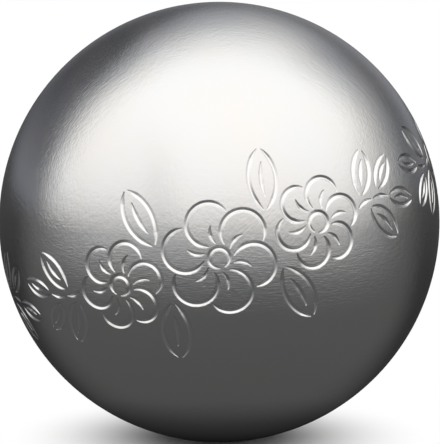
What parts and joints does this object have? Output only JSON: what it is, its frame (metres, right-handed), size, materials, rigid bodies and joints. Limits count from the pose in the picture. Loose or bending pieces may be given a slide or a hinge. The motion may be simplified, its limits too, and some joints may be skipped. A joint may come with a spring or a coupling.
{
  "type": "petanque boule",
  "caption": "Hollow steel petanque boule welded from half shells, satin brushed and engraved with a garland of flowers, for throwing and rolling on hard ground.",
  "frame": {"origin": "centre of the ball", "axes": "+Z along the axis that the ball is turned on, square to the weld, and -Y out of the side with the garland's middle flower"},
  "size_m": [0.073, 0.073, 0.073],
  "materials": {
    "shell_steel": "satin",
    "weld_steel": "satin"
  },
  "bodies": {
    "root": {"upper_half_shell": "shell_steel", "lower_half_shell": "shell_steel", "weld_seam": "weld_steel"}
  },
  "joints": []
}
